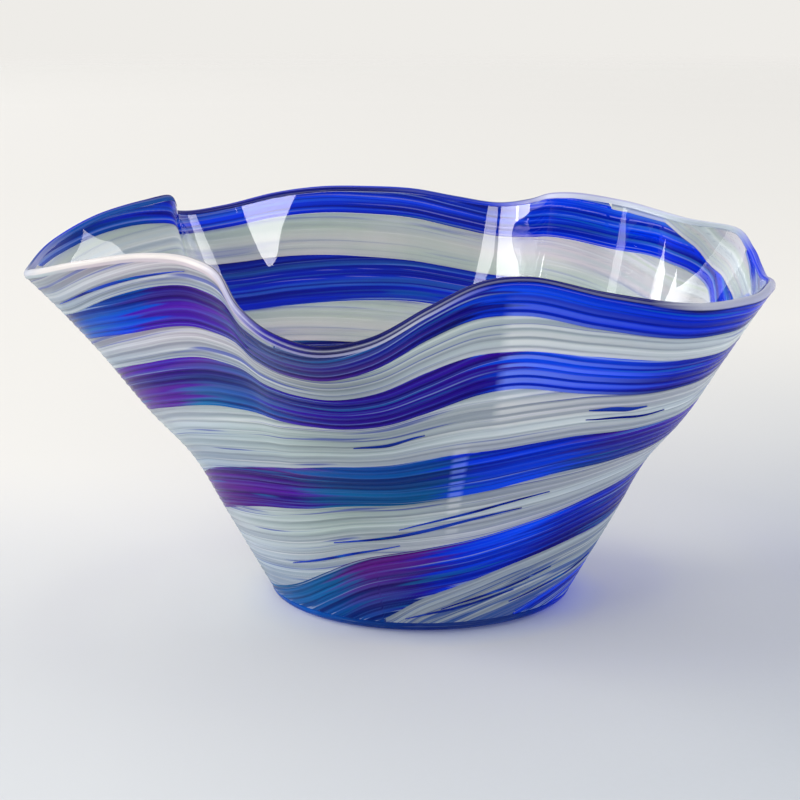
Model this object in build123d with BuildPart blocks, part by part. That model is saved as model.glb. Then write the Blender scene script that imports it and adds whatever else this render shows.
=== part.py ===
from build123d import *
import os
from bisect import bisect_right
from math import cos, hypot, pi, radians, sin

# Fluted art glass bowl, blown in clear glass and wound with cobalt and opal stripes.
# Millimetres, +Z up. The origin is the centre of the foot's resting plane, and X is the widest way across.
# Angles are in degrees, anticlockwise from +X seen from above. A "share" runs up the wall from the heel
# (0) to the rim (1), and a "depth" is measured inwards from the wall's outer surface.

# --- driving dimensions -------------------------------------------------------------------------------
# The wall before it was fluted: share of its length, radius, height.
WALL_LINE = [
    (0.00, 57.5, 4.0),
    (0.25, 75.0, 36.0),
    (0.42, 86.2, 58.0),
    (0.56, 98.8, 75.0),
    (0.77, 113.0, 102.0),
    (1.00, 128.0, 133.0),
]
# The fluted rim, lobe by lobe: angle, radius, height. Low lobes lean out, high ones are drawn in.
RIM = [
    (0, 130.0, 121.0),
    (8, 132.5, 122.5),
    (13, 133.5, 127.5),
    (17, 131.0, 134.0),
    (20, 122.5, 136.0),
    (22, 116.5, 137.2),
    (25, 113.0, 138.4),
    (31, 112.0, 139.5),
    (42, 114.0, 141.0),
    (54, 109.0, 143.2),
    (60, 111.0, 142.0),
    (67, 121.0, 137.5),
    (74, 126.5, 134.8),
    (82, 120.0, 138.0),
    (90, 112.0, 142.0),
    (102, 109.0, 144.0),
    (113, 112.0, 144.0),
    (122, 118.0, 141.5),
    (130, 128.0, 136.5),
    (137, 133.5, 134.5),
    (142, 131.0, 136.5),
    (147, 121.0, 142.0),
    (150, 117.5, 145.0),
    (155, 121.5, 144.0),
    (163, 134.0, 139.0),
    (171, 144.5, 131.0),
    (180, 148.5, 123.5),
    (191, 144.0, 126.5),
    (205, 132.0, 134.0),
    (218, 121.5, 139.5),
    (230, 120.0, 140.0),
    (238, 127.0, 137.0),
    (245, 140.0, 128.5),
    (251, 148.0, 122.5),
    (257, 150.5, 119.5),
    (263, 147.0, 122.0),
    (270, 134.5, 130.0),
    (278, 123.0, 136.5),
    (286, 120.5, 137.5),
    (297, 128.5, 132.0),
    (310, 137.0, 126.5),
    (322, 138.5, 125.5),
    (338, 132.5, 124.5),
    (350, 130.5, 122.5),
]
FLUTE_START = 0.12  # the flutes fade to nothing at this share of the wall
FLUTE_POWER = 2.3  # and grow towards the rim by this power

SKIN = 1.0  # thickness of the coloured stripes
WALL = 3.2  # whole thickness of the wall
SEAM = 0.1  # line between masses of glass that are fused face to face
LIP_SHARE = 0.985  # the fire-polished lip covers the wall above this share
LIP_PROUD = 0.25  # how far the lip stands out past each face of the wall

# The two cobalt stripes, wound up the wall: turn angle, share at the lower edge, share at the upper edge.
# Shares under 0 or over 1 have run off the foot or the rim.
COBALT_1 = [
    (180, -0.01, 0.00),
    (195, -0.01, 0.02),
    (210, -0.01, 0.05),
    (225, -0.01, 0.09),
    (240, -0.01, 0.155),
    (255, 0.01, 0.225),
    (270, 0.09, 0.26),
    (285, 0.15, 0.29),
    (300, 0.20, 0.33),
    (315, 0.235, 0.375),
    (330, 0.255, 0.405),
    (360, 0.295, 0.445),
    (405, 0.36, 0.505),
    (450, 0.425, 0.555),
    (475, 0.46, 0.585),
    (540, 0.545, 0.68),
    (570, 0.61, 0.735),
    (585, 0.64, 0.765),
    (600, 0.66, 0.775),
    (615, 0.705, 0.815),
    (630, 0.71, 0.83),
    (645, 0.735, 0.83),
    (660, 0.735, 0.84),
    (690, 0.74, 0.83),
    (705, 0.745, 0.84),
    (720, 0.755, 0.86),
    (730, 0.775, 0.868),
    (735, 0.80, 0.875),
    (738, 0.84, 0.885),
    (741, 0.865, 0.93),
    (745, 0.873, 0.958),
    (765, 0.87, 0.972),
    (780, 0.885, 0.985),
    (795, 0.905, 1.00),
    (810, 0.92, 1.01),
    (840, 0.935, 1.02),
    (855, 0.94, 1.02),
    (870, 0.93, 1.02),
    (876, 0.945, 1.02),
    (885, 0.957, 1.02),
    (892, 0.965, 1.02),
    (900, 0.98, 1.02),
    (906, 1.00, 1.02),
]
COBALT_2 = [
    (-60, -0.01, 0.00),
    (-45, -0.01, 0.055),
    (-30, -0.01, 0.09),
    (-15, -0.01, 0.105),
    (0, 0.015, 0.125),
    (45, 0.07, 0.185),
    (90, 0.125, 0.24),
    (135, 0.18, 0.30),
    (180, 0.235, 0.35),
    (195, 0.26, 0.37),
    (210, 0.30, 0.42),
    (225, 0.335, 0.455),
    (240, 0.36, 0.495),
    (255, 0.40, 0.56),
    (270, 0.41, 0.565),
    (285, 0.435, 0.57),
    (300, 0.485, 0.61),
    (315, 0.51, 0.62),
    (330, 0.52, 0.625),
    (360, 0.55, 0.655),
    (435, 0.675, 0.79),
    (450, 0.69, 0.805),
    (480, 0.695, 0.83),
    (495, 0.705, 0.845),
    (540, 0.78, 0.865),
    (555, 0.80, 0.875),
    (570, 0.815, 0.91),
    (585, 0.84, 0.935),
    (600, 0.845, 0.945),
    (615, 0.885, 0.98),
    (630, 0.92, 1.01),
    (645, 0.915, 1.02),
    (660, 0.91, 1.01),
    (690, 0.90, 0.985),
    (705, 0.905, 0.98),
    (720, 0.92, 0.985),
    (732, 0.96, 1.00),
    (740, 1.00, 1.02),
]
# Stray threads of cobalt in the pale glass: start angle, end angle, share at each end, width.
# The angles are whole STEPs, so that the threads follow the stripes' own facets.
THREADS = [
    (18, 60, 0.700, 0.745, 1.2),
    (72, 120, 0.300, 0.345, 1.4),
    (96, 150, 0.600, 0.645, 1.0),
    (126, 174, 0.330, 0.400, 1.5),
    (192, 228, 0.905, 0.972, 1.1),
    (228, 264, 0.165, 0.275, 1.3),
    (246, 294, 0.265, 0.375, 1.6),
    (258, 270, 0.640, 0.646, 1.6),
    (264, 300, 0.325, 0.420, 1.2),
    (264, 300, 0.020, 0.100, 1.4),
    (276, 312, 0.055, 0.155, 1.3),
    (300, 312, 0.690, 0.694, 2.2),
    (300, 336, 0.060, 0.140, 1.1),
    (300, 318, 0.662, 0.668, 1.2),
]
THREAD_PROUD = 0.3

FOOT_FLAT = 50.0  # outer radius of the flat ring that the bowl rests on
HOLLOW_R = 38.0  # the underside is hollowed inside this radius
HOLLOW_DEPTH = 1.2
PONTIL_R = 14.0  # the ground and polished scar of the pontil rod
PONTIL_DEPTH = 1.4
FLOOR_TOP = 8.6  # height of the glass inside the bowl, at its centre
FLOOR_ROUND = 9.0  # radius where the floor turns up into the wall

EDGE_GAP = 0.0005  # share of the wall left between one stripe and the next
SKIN_LOW = 0.004  # the stripes start just above the foot
SKIN_HIGH = 0.983  # and end just under the lip
LEAST_BAND = 0.012  # a stripe tapers to this share of the wall at its ends

WALL_LENGTH = 147.0  # length of the wall from heel to rim, which turns a width into a share

STEP = 6  # degrees from one section of a loft to the next, the same in every piece of the wall
ROUND = range(0, 360, STEP)


# --- the wall ----------------------------------------------------------------------------------------
def smooth(rows, x, column):
    """The value at x of the smooth curve that the rows' column makes against their first entry."""
    xs = [row[0] for row in rows]
    ys = [row[column] for row in rows]
    k = min(max(bisect_right(xs, x) - 1, 0), len(xs) - 2)

    def chord(i):
        return (ys[i + 1] - ys[i]) / (xs[i + 1] - xs[i])

    def slope(i):
        if i == 0:
            return chord(0)
        if i == len(xs) - 1:
            return chord(i - 1)
        before = xs[i] - xs[i - 1]
        after = xs[i + 1] - xs[i]
        return (chord(i - 1) * after + chord(i) * before) / (before + after)

    h = xs[k + 1] - xs[k]
    t = (x - xs[k]) / h
    ends = (1 + 2 * t) * (1 - t) ** 2 * ys[k] + t * t * (3 - 2 * t) * ys[k + 1]
    return ends + h * (t * (1 - t) ** 2 * slope(k) - t * t * (1 - t) * slope(k + 1))


def turned(rows, turn):
    """The same rows one turn on, so that a curve round the rim closes on itself."""
    return [(row[0] + turn, *row[1:]) for row in rows]


RIM_ROUND = turned(RIM[-3:], -360) + RIM + turned(RIM[:3], 360)


def surface_point(angle, share):
    """Radius and height of the outer surface at an angle, a share of the way up the wall."""
    flute = max(0.0, (share - FLUTE_START) / (1 - FLUTE_START)) ** FLUTE_POWER
    radius = smooth(WALL_LINE, share, 1)
    height = smooth(WALL_LINE, share, 2)
    radius += flute * (smooth(RIM_ROUND, angle % 360, 1) - WALL_LINE[-1][1])
    height += flute * (smooth(RIM_ROUND, angle % 360, 2) - WALL_LINE[-1][2])
    return radius, height


def wall_point(angle, share, depth):
    """Radius and height of the point at a depth under the outer surface."""
    lower = surface_point(angle, max(share - 0.005, 0.0))
    upper = surface_point(angle, min(share + 0.005, 1.0))
    run, rise = upper[0] - lower[0], upper[1] - lower[1]
    length = hypot(run, rise)
    radius, height = surface_point(angle, share)
    return radius - depth * rise / length, height + depth * run / length


def shares(low, high, count):
    """Evenly spaced shares of the wall from low to high."""
    return [low + (high - low) * i / (count - 1) for i in range(count)]


def radial_plane(angle):
    """The upright plane through the axis at an angle: its x is the radius and its y the height."""
    a = radians(angle)
    return Plane(origin=(0, 0, 0), x_dir=(cos(a), sin(a), 0), z_dir=(sin(a), -cos(a), 0))


def wall_curve(angle, start, end, depth):
    """Control points of the wall's curve between two shares, at one depth in the plane at an angle."""
    nudge = (end - start) * 0.02
    first = Vector(*wall_point(angle, start, depth))
    last = Vector(*wall_point(angle, end, depth))
    leaving = (Vector(*wall_point(angle, start + nudge, depth)) - first) * (50 / 3)
    arriving = (last - Vector(*wall_point(angle, end - nudge, depth))) * (50 / 3)
    return first, first + leaving, last - arriving, last


def wall_section(angle, stops, near, deep):
    """Slice of the wall through the shares in stops, between two depths, in the plane at an angle."""
    with BuildSketch(radial_plane(angle)) as section:
        with BuildLine():
            for low, high in zip(stops, stops[1:]):
                Bezier(*wall_curve(angle, low, high, near))
                Bezier(*wall_curve(angle, low, high, deep))
            for share in (stops[0], stops[-1]):
                Line(wall_point(angle, share, near), wall_point(angle, share, deep))
        make_face()
    return section.sketch


def edge(rows, column, turn):
    """Share of a cobalt stripe's edge at a turn angle: 0 before it leaves the foot, 1 past the rim.

    An edge less than a least band from the foot or the lip is taken all the way there."""
    share = smooth(rows, min(max(turn, rows[0][0]), rows[-1][0]), column)
    if share < SKIN_LOW + LEAST_BAND:
        return 0.0
    if share > SKIN_HIGH - LEAST_BAND:
        return 1.0
    return share


def closed(sections):
    """The sections with the first one again at the end, so that the loft closes into a ring."""
    return [*sections, sections[0]]


def ribbon_sections(below, above):
    """Sections of the stripe that winds up the wall between two edges.

    Each edge is a cobalt stripe's rows, the column of the edge, and the turns it is ahead by."""
    sections = []
    for turn in range(-114, 1000, STEP):
        low = max(edge(below[0], below[1], turn + below[2]) + EDGE_GAP, SKIN_LOW)
        high = min(edge(above[0], above[1], turn + above[2]) - EDGE_GAP, SKIN_HIGH)
        if high - low > LEAST_BAND:
            sections.append(wall_section(turn, (low, high), 0.0, SKIN))
    return sections


# --- inner gather: the clear glass that makes the floor and backs the whole wall -----------------------
GATHER_FACE = SKIN + SEAM
heel_in = wall_point(0, 0.0, WALL)
foot_wall = [wall_point(0, share, GATHER_FACE) for share in shares(0.0, FLUTE_START, 3)]
wall_turn = wall_point(0, FLUTE_START, WALL)
climb = (FLOOR_TOP - heel_in[1]) / (wall_turn[1] - heel_in[1])
floor_corner = (heel_in[0] + climb * (wall_turn[0] - heel_in[0]), FLOOR_TOP)
ring_stops = (FLUTE_START - 0.02, 0.4, 0.7, LIP_SHARE - 0.001)
ring_sections = [
    wall_section(angle, ring_stops, GATHER_FACE + 0.02, WALL - 0.02) for angle in ROUND
]
with BuildPart() as inner_gather:
    with BuildSketch(Plane.XZ):
        with BuildLine():
            Line((0, FLOOR_TOP), (0, heel_in[1] + SEAM))
            Line((0, heel_in[1] + SEAM), (heel_in[0], heel_in[1] + SEAM))
            Line((heel_in[0], heel_in[1] + SEAM), foot_wall[0])
            Spline(*foot_wall)
            Line(foot_wall[-1], wall_turn)
            FilletPolyline(wall_turn, floor_corner, (0, FLOOR_TOP), radius=FLOOR_ROUND)
        make_face()
    revolve(axis=Axis.Z)
    loft(sections=closed(ring_sections), ruled=True)
inner_gather.part.label = "inner_gather"


# --- coloured stripes, fused on the outside of the gather ---------------------------------------------
with BuildPart() as cobalt_stripe_1:
    loft(sections=ribbon_sections((COBALT_1, 1, 0), (COBALT_1, 2, 0)), ruled=True)
cobalt_stripe_1.part.label = "cobalt_stripe_1"

with BuildPart() as opal_stripe_1:
    loft(sections=ribbon_sections((COBALT_1, 2, 0), (COBALT_2, 1, 0)), ruled=True)
opal_stripe_1.part.label = "opal_stripe_1"

with BuildPart() as cobalt_stripe_2:
    loft(sections=ribbon_sections((COBALT_2, 1, 0), (COBALT_2, 2, 0)), ruled=True)
cobalt_stripe_2.part.label = "cobalt_stripe_2"

with BuildPart() as opal_stripe_2:
    loft(sections=ribbon_sections((COBALT_2, 2, 0), (COBALT_1, 1, 360)), ruled=True)
opal_stripe_2.part.label = "opal_stripe_2"


# --- lip: the rim melted round in the furnace's mouth ---------------------------------------------------
def lip_section(angle):
    """Slice of the rounded lip in the radial plane at an angle."""
    with BuildSketch(radial_plane(angle)) as section:
        with BuildLine():
            over = ThreePointArc(
                wall_point(angle, LIP_SHARE, -LIP_PROUD),
                wall_point(angle, 1.0, WALL / 2),
                wall_point(angle, LIP_SHARE, WALL + LIP_PROUD),
            )
            Line(over @ 1, over @ 0)
        make_face()
    return section.sketch


with BuildPart() as lip_bead:
    loft(sections=closed([lip_section(angle) for angle in ROUND]), ruled=True)
lip_bead.part.label = "lip_bead"


# --- foot: the thick pad of glass under the floor, with its heel, resting ring and hollow ----------------
heel_out = wall_point(0, 0.0, 0.0)
pocket_top = HOLLOW_DEPTH + PONTIL_DEPTH + SEAM
pocket_r = PONTIL_R + SEAM
with BuildPart() as foot_pad:
    with BuildSketch(Plane.XZ):
        with BuildLine():
            Polyline(
                heel_out,
                heel_in,
                (0, heel_in[1]),
                (0, pocket_top),
                (pocket_r, pocket_top),
                (pocket_r, HOLLOW_DEPTH),
                (HOLLOW_R - HOLLOW_DEPTH, HOLLOW_DEPTH),
                (HOLLOW_R, 0),
                (FOOT_FLAT, 0),
            )
            TangentArc((FOOT_FLAT, 0), heel_out, tangent=(1, 0))
        make_face()
    revolve(axis=Axis.Z)
foot_pad.part.label = "foot_pad"

with BuildPart() as pontil_seal:
    with BuildSketch(Plane.XY.offset(HOLLOW_DEPTH)):
        Circle(PONTIL_R)
    extrude(amount=PONTIL_DEPTH)
pontil_seal.part.label = "pontil_seal"


# --- stray threads of cobalt, trailed on the pale glass --------------------------------------------------
def thread_sections(start, end, share_start, share_end, width):
    """Sections of one thread, thickest in the middle and drawn out to fine ends."""
    sections = []
    for angle in range(start, end + 1, STEP):
        t = (angle - start) / (end - start)
        half = (0.25 + 0.75 * sin(pi * t)) * width / 2 / WALL_LENGTH
        mid = share_start + (share_end - share_start) * t
        sections.append(wall_section(angle, (mid - half, mid + half), -THREAD_PROUD, -SEAM))
    return sections


with BuildPart() as stray_cobalt_threads:
    for thread in THREADS:
        loft(sections=thread_sections(*thread), ruled=True)
stray_cobalt_threads.part.label = "stray_cobalt_threads"


# --- hand-over -----------------------------------------------------------------------------------------
pieces = [
    inner_gather,
    cobalt_stripe_1,
    cobalt_stripe_2,
    opal_stripe_1,
    opal_stripe_2,
    lip_bead,
    foot_pad,
    pontil_seal,
    stray_cobalt_threads,
]
os.makedirs("parts", exist_ok=True)
for piece in pieces:
    export_step(piece.part, f"parts/{piece.part.label}.step")
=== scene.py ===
from math import cos, pi, radians, sin, tan

import bmesh
import bpy
import numpy as np
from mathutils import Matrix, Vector


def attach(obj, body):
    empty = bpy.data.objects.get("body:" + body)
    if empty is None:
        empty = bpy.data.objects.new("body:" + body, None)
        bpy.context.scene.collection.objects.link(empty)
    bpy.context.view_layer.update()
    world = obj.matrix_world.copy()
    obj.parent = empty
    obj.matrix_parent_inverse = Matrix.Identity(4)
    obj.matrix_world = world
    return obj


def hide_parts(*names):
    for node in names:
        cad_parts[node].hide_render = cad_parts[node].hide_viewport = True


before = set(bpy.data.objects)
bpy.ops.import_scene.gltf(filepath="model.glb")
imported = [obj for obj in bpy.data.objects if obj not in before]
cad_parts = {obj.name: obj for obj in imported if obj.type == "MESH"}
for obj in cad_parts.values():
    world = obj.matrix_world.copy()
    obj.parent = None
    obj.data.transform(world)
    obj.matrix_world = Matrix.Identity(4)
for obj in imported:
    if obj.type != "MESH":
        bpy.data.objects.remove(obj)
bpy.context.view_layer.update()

# Fluted art glass bowl. The shape is worked out in millimetres, with the same wall formula as the CAD
# model, and MM turns it into Blender's metres. Angles are degrees, anticlockwise from +X seen from above.
# A "share" runs up the wall from the heel (0) to the rim (1). A "turn" is an angle that keeps counting up
# along a stripe as it winds round the bowl.
MM = 0.001

# --- driving dimensions ---------------------------------------------------------------------------------
# The wall before it was fluted: share of its length, radius, height.
WALL_LINE = [
    (0.00, 57.5, 4.0),
    (0.25, 75.0, 36.0),
    (0.42, 86.2, 58.0),
    (0.56, 98.8, 75.0),
    (0.77, 113.0, 102.0),
    (1.00, 128.0, 133.0),
]
# The fluted rim, lobe by lobe: angle, radius, height.
RIM = [
    (0, 130.0, 121.0),
    (8, 132.5, 122.5),
    (13, 133.5, 127.5),
    (17, 131.0, 134.0),
    (20, 122.5, 136.0),
    (22, 116.5, 137.2),
    (25, 113.0, 138.4),
    (31, 112.0, 139.5),
    (42, 114.0, 141.0),
    (54, 109.0, 143.2),
    (60, 111.0, 142.0),
    (67, 121.0, 137.5),
    (74, 126.5, 134.8),
    (82, 120.0, 138.0),
    (90, 112.0, 142.0),
    (102, 109.0, 144.0),
    (113, 112.0, 144.0),
    (122, 118.0, 141.5),
    (130, 128.0, 136.5),
    (137, 133.5, 134.5),
    (142, 131.0, 136.5),
    (147, 121.0, 142.0),
    (150, 117.5, 145.0),
    (155, 121.5, 144.0),
    (163, 134.0, 139.0),
    (171, 144.5, 131.0),
    (180, 148.5, 123.5),
    (191, 144.0, 126.5),
    (205, 132.0, 134.0),
    (218, 121.5, 139.5),
    (230, 120.0, 140.0),
    (238, 127.0, 137.0),
    (245, 140.0, 128.5),
    (251, 148.0, 122.5),
    (257, 150.5, 119.5),
    (263, 147.0, 122.0),
    (270, 134.5, 130.0),
    (278, 123.0, 136.5),
    (286, 120.5, 137.5),
    (297, 128.5, 132.0),
    (310, 137.0, 126.5),
    (322, 138.5, 125.5),
    (338, 132.5, 124.5),
    (350, 130.5, 122.5),
]
FLUTE_START = 0.12  # the flutes fade to nothing at this share of the wall
FLUTE_POWER = 2.3  # and grow towards the rim by this power
SKIN = 1.0  # thickness of the coloured stripes
WALL = 3.2  # whole thickness of the wall
SEAM = 0.1  # line between masses of glass that are fused face to face
LIP_SHARE = 0.985  # the fire-polished lip covers the wall above this share
LIP_PROUD = 0.25  # how far the lip stands out past each face of the wall

# The two cobalt stripes: turn, share at the lower edge, share at the upper edge.
COBALT_1 = [
    (180, -0.01, 0.00),
    (195, -0.01, 0.02),
    (210, -0.01, 0.05),
    (225, -0.01, 0.09),
    (240, -0.01, 0.155),
    (255, 0.01, 0.225),
    (270, 0.09, 0.26),
    (285, 0.15, 0.29),
    (300, 0.20, 0.33),
    (315, 0.235, 0.375),
    (330, 0.255, 0.405),
    (360, 0.295, 0.445),
    (405, 0.36, 0.505),
    (450, 0.425, 0.555),
    (475, 0.46, 0.585),
    (540, 0.545, 0.68),
    (570, 0.61, 0.735),
    (585, 0.64, 0.765),
    (600, 0.66, 0.775),
    (615, 0.705, 0.815),
    (630, 0.71, 0.83),
    (645, 0.735, 0.83),
    (660, 0.735, 0.84),
    (690, 0.74, 0.83),
    (705, 0.745, 0.84),
    (720, 0.755, 0.86),
    (730, 0.775, 0.868),
    (735, 0.80, 0.875),
    (738, 0.84, 0.885),
    (741, 0.865, 0.93),
    (745, 0.873, 0.958),
    (765, 0.87, 0.972),
    (780, 0.885, 0.985),
    (795, 0.905, 1.00),
    (810, 0.92, 1.01),
    (840, 0.935, 1.02),
    (855, 0.94, 1.02),
    (870, 0.93, 1.02),
    (876, 0.945, 1.02),
    (885, 0.957, 1.02),
    (892, 0.965, 1.02),
    (900, 0.98, 1.02),
    (906, 1.00, 1.02),
]
COBALT_2 = [
    (-60, -0.01, 0.00),
    (-45, -0.01, 0.055),
    (-30, -0.01, 0.09),
    (-15, -0.01, 0.105),
    (0, 0.015, 0.125),
    (45, 0.07, 0.185),
    (90, 0.125, 0.24),
    (135, 0.18, 0.30),
    (180, 0.235, 0.35),
    (195, 0.26, 0.37),
    (210, 0.30, 0.42),
    (225, 0.335, 0.455),
    (240, 0.36, 0.495),
    (255, 0.40, 0.56),
    (270, 0.41, 0.565),
    (285, 0.435, 0.57),
    (300, 0.485, 0.61),
    (315, 0.51, 0.62),
    (330, 0.52, 0.625),
    (360, 0.55, 0.655),
    (435, 0.675, 0.79),
    (450, 0.69, 0.805),
    (480, 0.695, 0.83),
    (495, 0.705, 0.845),
    (540, 0.78, 0.865),
    (555, 0.80, 0.875),
    (570, 0.815, 0.91),
    (585, 0.84, 0.935),
    (600, 0.845, 0.945),
    (615, 0.885, 0.98),
    (630, 0.92, 1.01),
    (645, 0.915, 1.02),
    (660, 0.91, 1.01),
    (690, 0.90, 0.985),
    (705, 0.905, 0.98),
    (720, 0.92, 0.985),
    (732, 0.96, 1.00),
    (740, 1.00, 1.02),
]
# Stray threads: start angle, end angle, share at each end, width.
THREADS = [
    (18, 60, 0.700, 0.745, 1.2),
    (72, 120, 0.300, 0.345, 1.4),
    (96, 150, 0.600, 0.645, 1.0),
    (126, 174, 0.330, 0.400, 1.5),
    (192, 228, 0.905, 0.972, 1.1),
    (228, 264, 0.165, 0.275, 1.3),
    (246, 294, 0.265, 0.375, 1.6),
    (258, 270, 0.640, 0.646, 1.6),
    (264, 300, 0.325, 0.420, 1.2),
    (264, 300, 0.020, 0.100, 1.4),
    (276, 312, 0.055, 0.155, 1.3),
    (300, 312, 0.690, 0.694, 2.2),
    (300, 336, 0.060, 0.140, 1.1),
    (300, 318, 0.662, 0.668, 1.2),
]
FIRST_TURN, LAST_TURN = -114.0, 1000.0  # the stripes lie between these turns
EDGE_GAP = 0.0005  # share of the wall left between one stripe and the next
SKIN_LOW = 0.004  # the stripes start just above the foot
SKIN_HIGH = 0.9847  # and end just under the lip
LEAST_BAND = 0.012  # a stripe narrower than this share of the wall isn't drawn
EDGE_WAVER = 0.002  # share of the wall that a stripe's edge wanders by
WALL_LENGTH = 147.0  # length of the wall from heel to rim, which turns a share into mm
ROW_PITCH = 0.5  # mm from one row of a stripe's mesh to the next
RIDGE = 0.13  # height of the ridges drawn along the stripes
HEM = 1.5  # the ridges die out this close to a stripe's edge
FAR_FROM_HEM = 9.0  # given to glass that has no stripe's edge near it
MEAN_RADIUS = 110.0  # turns an angle into a length along a stripe

FOOT_FLAT = 50.0  # outer radius of the flat ring that the bowl rests on
HOLLOW_R = 38.0  # the underside is hollowed inside this radius
HOLLOW_DEPTH = 1.2
PONTIL_R = 14.0  # the ground and polished scar of the pontil rod
PONTIL_DEPTH = 1.4
FLOOR_TOP = 8.6  # height of the glass inside the bowl, at its centre
FLOOR_ROUND = 9.0  # radius where the floor turns up into the wall

# The lip's outer colour gives way to its top's at the first of these shares of the way over the lip, and
# that to its inner side's at the second. LIP_BLEND is the width of each change in radians.
LIP_OUTER, LIP_INNER = 0.14, 0.72
LIP_BLEND = 0.1
LIP_LINE = 0.13  # half width in radians of a fine line along the lip
FOOT_MIDDLE_R, FOOT_BLEND = 42, 8  # radius where the foot's middle colour ends, and the width of the change

# Where the wall's inner face has lost its gloss: angle, how much of it. It sets in above a radius.
WORN = [(0, 0), (8, 0.8), (18, 0.8), (20, 0), (25, 0), (27, 0.7), (57, 0.7), (61, 0)]
WORN_R, WORN_BLEND = 75, 15

# Metres: the table's radius, where its paper starts and ends fading into the background, and how far the
# windows are from the bowl.
TABLE_REACH = 5.5
TABLE_FADE = (3.0, 5.4)
WINDOW_DISTANCE = 10.0

WHITE = (1, 1, 1, 1)
LAMP_TINT = (0.98, 0.98, 0.99, 1)  # what clear glass does to the light that crosses it

# Colours, as 8-bit sRGB.
NAVY = (0, 12, 120)
ROYAL = (0, 58, 225)
BRIGHT = (10, 105, 255)
AZURE = (0, 105, 205)
INDIGO = (30, 10, 165)
VIOLET = (78, 20, 180)
PURPLE = (105, 35, 165)
MAGENTA = (122, 16, 150)
TEAL = (0, 90, 180)
SEA = (15, 130, 180)
SMOKE = (70, 95, 155)
PALE = (188, 200, 204)
CLOUD = (208, 216, 218)
SAGE = (182, 198, 190)
BLUSH = (208, 198, 204)
MIST = (170, 190, 208)
# Used only for the painted highlight along the lip's top.
CREAM_HIGHLIGHT = (246, 240, 234)
PEARL = (214, 218, 230)
LILAC = (168, 168, 208)
INK = (8, 10, 80)
HAIR = (96, 98, 122)

# Tints along each stripe: turn, colour at its lower edge, colour at its upper edge.
# The hues are partly the glass's own colour and partly painted iridescent sheen and reflection: on the front,
# the change from violet to bright blue at about 280 degrees is the edge of a painted window reflection.
COBALT_1_TINTS = [
    (180, SEA, SEA),
    (240, TEAL, SEA),
    (250, TEAL, MAGENTA),
    (262, TEAL, MAGENTA),
    (270, INDIGO, PURPLE),
    # From here to about 300 degrees the brighter blue is a painted window reflection.
    (278, ROYAL, ROYAL),
    (298, ROYAL, BRIGHT),
    (306, INDIGO, ROYAL),
    (345, INDIGO, INDIGO),
    (365, ROYAL, ROYAL),
    (450, ROYAL, NAVY),
    (520, ROYAL, INDIGO),
    (540, SMOKE, SMOKE),
    (555, PURPLE, PURPLE),
    (576, PURPLE, VIOLET),
    (584, SEA, PURPLE),
    (600, TEAL, SMOKE),
    (612, VIOLET, INDIGO),
    (642, INDIGO, VIOLET),
    # From here to about 300 degrees round the rim the brighter blue is a painted window reflection.
    (645, ROYAL, BRIGHT),
    (662, ROYAL, BRIGHT),
    (672, INDIGO, ROYAL),
    (700, INDIGO, INDIGO),
    (725, ROYAL, ROYAL),
    (800, ROYAL, BRIGHT),
    (850, ROYAL, BRIGHT),
    (868, NAVY, INDIGO),
    (874, ROYAL, ROYAL),
    (880, TEAL, TEAL),
    (906, TEAL, ROYAL),
]
COBALT_2_TINTS = [
    (-60, ROYAL, BRIGHT),
    (0, ROYAL, ROYAL),
    (90, INDIGO, ROYAL),
    (180, VIOLET, MAGENTA),
    (212, MAGENTA, PURPLE),
    (240, VIOLET, PURPLE),
    (248, SEA, TEAL),
    (274, SEA, TEAL),
    # From here to about 300 degrees the brighter blue is a painted window reflection.
    (279, BRIGHT, ROYAL),
    (298, BRIGHT, ROYAL),
    (306, TEAL, VIOLET),
    (330, INDIGO, VIOLET),
    (365, NAVY, INDIGO),
    (430, ROYAL, ROYAL),
    (520, ROYAL, NAVY),
    (545, SEA, SMOKE),
    (558, AZURE, AZURE),
    (573, ROYAL, AZURE),
    (576, VIOLET, VIOLET),
    (592, VIOLET, PURPLE),
    (606, SMOKE, SMOKE),
    (618, PURPLE, SMOKE),
    (630, INDIGO, INDIGO),
    (638, NAVY, INDIGO),
    # Here, at about 280 degrees round the rim, the brighter blue is a painted window reflection.
    (640, ROYAL, BRIGHT),
    (665, ROYAL, ROYAL),
    (700, NAVY, ROYAL),
    (740, ROYAL, ROYAL),
]
# The opal's pink and green hues are partly its own colour and partly a painted iridescent sheen.
OPAL_TINTS = [
    (-60, PALE, PALE),
    (60, SAGE, PALE),
    (110, BLUSH, SAGE),
    (170, SAGE, PALE),
    (210, MIST, CLOUD),
    (250, PALE, SAGE),
    (280, CLOUD, PALE),
    (330, PALE, CLOUD),
    (420, SAGE, BLUSH),
    (480, BLUSH, SAGE),
    (540, MIST, PALE),
    (580, PALE, BLUSH),
    (620, PALE, SAGE),
    (660, CLOUD, PALE),
    (720, PALE, CLOUD),
    (780, BLUSH, SAGE),
    (860, SAGE, PALE),
    (1000, PALE, PALE),
]
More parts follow.
